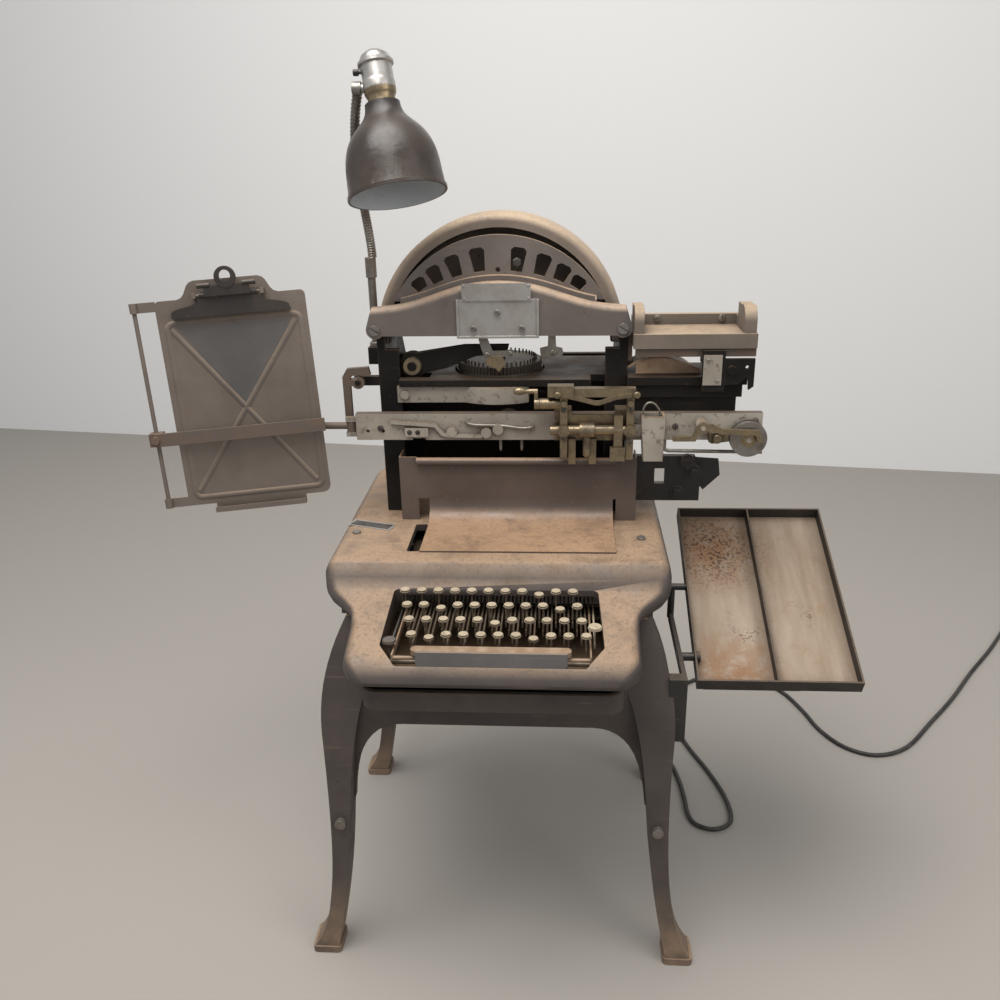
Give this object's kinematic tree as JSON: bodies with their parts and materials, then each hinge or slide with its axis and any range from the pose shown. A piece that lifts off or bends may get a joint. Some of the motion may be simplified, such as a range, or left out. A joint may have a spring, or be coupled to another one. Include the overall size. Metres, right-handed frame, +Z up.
{
  "type": "plate embossing machine",
  "caption": "Floor-standing keyboard machine that embosses metal plates: cast stand, die head, sliding carriage, hopper, parts tray, copyholder and gooseneck lamp.",
  "frame": {"origin": "centre of the stance of the four feet, on the floor", "axes": "+Z up, +Y from the operator to the back, +X to the operator's right"},
  "size_m": [2.096, 1.312, 1.4432],
  "materials": {
    "base_paint": "worn warm grey-brown enamel with dust",
    "dark_iron": "dark oily iron",
    "dusty_paint": "dusty tan enamel",
    "pale_paint": "worn cream paint with rust at the edges",
    "steel": "dull plain steel",
    "brass": "tarnished brass",
    "rusty_steel": "brown surface rust",
    "black_paint": "black enamel",
    "key_cream": "aged cream key tops",
    "rubber": "black rubber",
    "shade_bronze": "dark bronze enamel, worn",
    "bulb_glass": "frosted glass",
    "board_paint": "dark grey-brown pressed sheet",
    "tray_paint": "dark sheet with a rusty tan floor"
  },
  "bodies": {
    "machine_frame": {"base_housing": "base_paint", "keyboard_pan": "base_paint", "front_legs": "base_paint", "rear_legs": "base_paint", "front_apron": "base_paint", "rear_side_aprons": "base_paint", "screws_and_bolts": "steel", "side_frame_left": "dark_iron", "side_frame_right": "dark_iron", "back_plate": "dark_iron", "head_cover": "base_paint", "vent_plate": "base_paint", "rim_guard": "dusty_paint", "guard_plate": "steel", "die_shelf": "dark_iron", "index_bar": "pale_paint", "carriage_rail": "pale_paint", "front_panel": "base_paint", "hopper_bed": "dusty_paint", "receiving_shelf": "dark_iron", "lower_bracket": "black_paint", "keyboard_frame": "steel", "column_fittings": "dark_iron", "tray_bracket": "black_paint", "motor": "black_paint", "drive_belt": "rubber", "cord_gland": "rubber", "cord_run": "rubber", "cord_coil": "rubber", "cord_plug": "rubber"},
    "key_row_1": {"key_row_1": "key_cream"},
    "key_row_2": {"key_row_2": "key_cream"},
    "key_row_3": {"key_row_3": "key_cream"},
    "key_row_4": {"key_row_4": "key_cream"},
    "space_bar": {"space_bar": "rusty_steel"},
    "shift_key_left": {"shift_key_left": "steel"},
    "shift_key_right": {"shift_key_right": "key_cream"},
    "die_drum": {"die_drum": "brass"},
    "flywheel": {"flywheel": "dark_iron"},
    "motor_pulley": {"motor_pulley": "steel"},
    "ram_lever": {"ram_lever": "dark_iron"},
    "carriage": {"carriage": "brass", "plate_holder": "pale_paint"},
    "carriage_handle": {"carriage_handle": "brass"},
    "feed_crank": {"feed_crank": "brass"},
    "spring_drum": {"spring_drum": "steel"},
    "release_lever": {"release_lever": "brass"},
    "hook_lever": {"hook_lever": "rusty_steel"},
    "hopper_clamp": {"hopper_clamp": "dark_iron"},
    "lamp_arm": {"lamp_stem": "steel", "gooseneck": "steel"},
    "lamp_head": {"lamp_shade": "shade_bronze", "lamp_socket": "steel", "lamp_bulb": "bulb_glass"},
    "lamp_switch": {"lamp_switch": "black_paint"},
    "copyholder": {"copy_arm": "rusty_steel", "copy_board": "board_paint"},
    "board_clip": {"board_clip": "black_paint"},
    "line_guide": {"line_guide": "rusty_steel"},
    "tray": {"tray": "tray_paint"}
  },
  "joints": [
    {"name": "key_row_1_press", "type": "hinge", "parent": "machine_frame", "child": "key_row_1", "pos_m": [0, -0.062, 0.606], "axis": [1, 0, 0], "range_deg": [0, 3.3], "stiffness_Nm_per_rad": 2, "springref_deg": -28.65},
    {"name": "key_row_2_press", "type": "hinge", "parent": "machine_frame", "child": "key_row_2", "pos_m": [0, -0.062, 0.606], "axis": [1, 0, 0], "range_deg": [0, 2.7], "stiffness_Nm_per_rad": 2, "springref_deg": -28.65},
    {"name": "key_row_3_press", "type": "hinge", "parent": "machine_frame", "child": "key_row_3", "pos_m": [0, -0.062, 0.606], "axis": [1, 0, 0], "range_deg": [0, 2.3], "stiffness_Nm_per_rad": 2, "springref_deg": -28.65},
    {"name": "key_row_4_press", "type": "hinge", "parent": "machine_frame", "child": "key_row_4", "pos_m": [0, -0.062, 0.606], "axis": [1, 0, 0], "range_deg": [0, 2], "stiffness_Nm_per_rad": 2, "springref_deg": -28.65},
    {"name": "space_bar_press", "type": "hinge", "parent": "machine_frame", "child": "space_bar", "pos_m": [0, -0.062, 0.606], "axis": [1, 0, 0], "range_deg": [0, 2], "stiffness_Nm_per_rad": 2, "springref_deg": -28.65},
    {"name": "shift_key_left_press", "type": "hinge", "parent": "machine_frame", "child": "shift_key_left", "pos_m": [0, -0.062, 0.606], "axis": [1, 0, 0], "range_deg": [0, 2], "stiffness_Nm_per_rad": 0.5, "springref_deg": -28.65},
    {"name": "shift_key_right_press", "type": "hinge", "parent": "machine_frame", "child": "shift_key_right", "pos_m": [0, -0.062, 0.606], "axis": [1, 0, 0], "range_deg": [0, 2], "stiffness_Nm_per_rad": 0.5, "springref_deg": -28.65},
    {"name": "drum_turn", "type": "hinge", "parent": "machine_frame", "child": "die_drum", "pos_m": [-0.008, 0.152, 0.925], "axis": [0, 0, 1], "continuous": true},
    {"name": "flywheel_turn", "type": "hinge", "parent": "machine_frame", "child": "flywheel", "pos_m": [0, 0.3, 0.8], "axis": [0, 1, 0], "continuous": true},
    {"name": "pulley_turn", "type": "hinge", "parent": "machine_frame", "child": "motor_pulley", "pos_m": [0, 0.3, 0.616], "axis": [0, 1, 0], "continuous": true},
    {"name": "ram_rock", "type": "hinge", "parent": "machine_frame", "child": "ram_lever", "pos_m": [-0.154, 0.1, 0.953], "axis": [0, 1, 0], "range_deg": [-4, 2]},
    {"name": "hook_swing", "type": "hinge", "parent": "machine_frame", "child": "hook_lever", "pos_m": [-0.246, 0.075, 0.929], "axis": [0, 1, 0], "range_deg": [-10, 10]},
    {"name": "carriage_slide", "type": "slide", "parent": "machine_frame", "child": "carriage", "axis": [1, 0, 0], "range_m": [-0.22, 0.006]},
    {"name": "handle_swing", "type": "hinge", "parent": "carriage", "child": "carriage_handle", "pos_m": [0.143, 0.007, 0.864], "axis": [1, 0, 0], "range_deg": [-40, 1]},
    {"name": "crank_turn", "type": "hinge", "parent": "carriage", "child": "feed_crank", "pos_m": [0.08, 0.01, 0.908], "axis": [1, 0, 0], "range_deg": [-60, 60]},
    {"name": "spool_turn", "type": "hinge", "parent": "machine_frame", "child": "spring_drum", "pos_m": [0.407, 0.021, 0.846], "axis": [0, 1, 0], "range_deg": [-480, 20]},
    {"name": "release_rock", "type": "hinge", "parent": "machine_frame", "child": "release_lever", "pos_m": [0.331, 0.005, 0.868], "axis": [0, 1, 0], "range_deg": [-6, 6]},
    {"name": "clamp_slide", "type": "slide", "parent": "machine_frame", "child": "hopper_clamp", "axis": [1, 0, 0], "range_m": [-0.09, 0]},
    {"name": "lamp_swivel", "type": "hinge", "parent": "machine_frame", "child": "lamp_arm", "pos_m": [-0.228, 0.16, 0.96], "axis": [0, 0, 1], "range_deg": [-60, 25]},
    {"name": "lamp_tilt", "type": "hinge", "parent": "lamp_arm", "child": "lamp_head", "pos_m": [-0.203, 0.062, 1.388], "axis": [1, 0, 0], "range_deg": [-30, 10]},
    {"name": "switch_turn", "type": "hinge", "parent": "lamp_head", "child": "lamp_switch", "pos_m": [-0.2, 0.062, 1.41], "axis": [1, 0, 0], "range_deg": [0, 90]},
    {"name": "copyholder_swivel", "type": "hinge", "parent": "machine_frame", "child": "copyholder", "pos_m": [-0.257, 0.05, 0.859], "axis": [0, 0, 1], "range_deg": [-10, 35]},
    {"name": "clip_open", "type": "hinge", "parent": "copyholder", "child": "board_clip", "pos_m": [-0.4342, 0.0187, 1.0907], "axis": [0.9827, 0.1785, 0.0486], "range_deg": [-20, 0], "stiffness_Nm_per_rad": 0.5, "springref_deg": 28.65},
    {"name": "guide_slide", "type": "slide", "parent": "copyholder", "child": "line_guide", "axis": [-0.0662, 0.0943, 0.9933], "range_m": [-0.09, 0.15]},
    {"name": "tray_tilt", "type": "hinge", "parent": "machine_frame", "child": "tray", "pos_m": [0.318, -0.13, 0.521], "axis": [1, 0, 0], "range_deg": [-8, 6]}
  ],
  "couplings": [
    {"joint": "pulley_turn", "follows": "flywheel_turn", "ratio": 3.2308},
    {"joint": "spool_turn", "follows": "carriage_slide", "rad_per_m": 37}
  ]
}
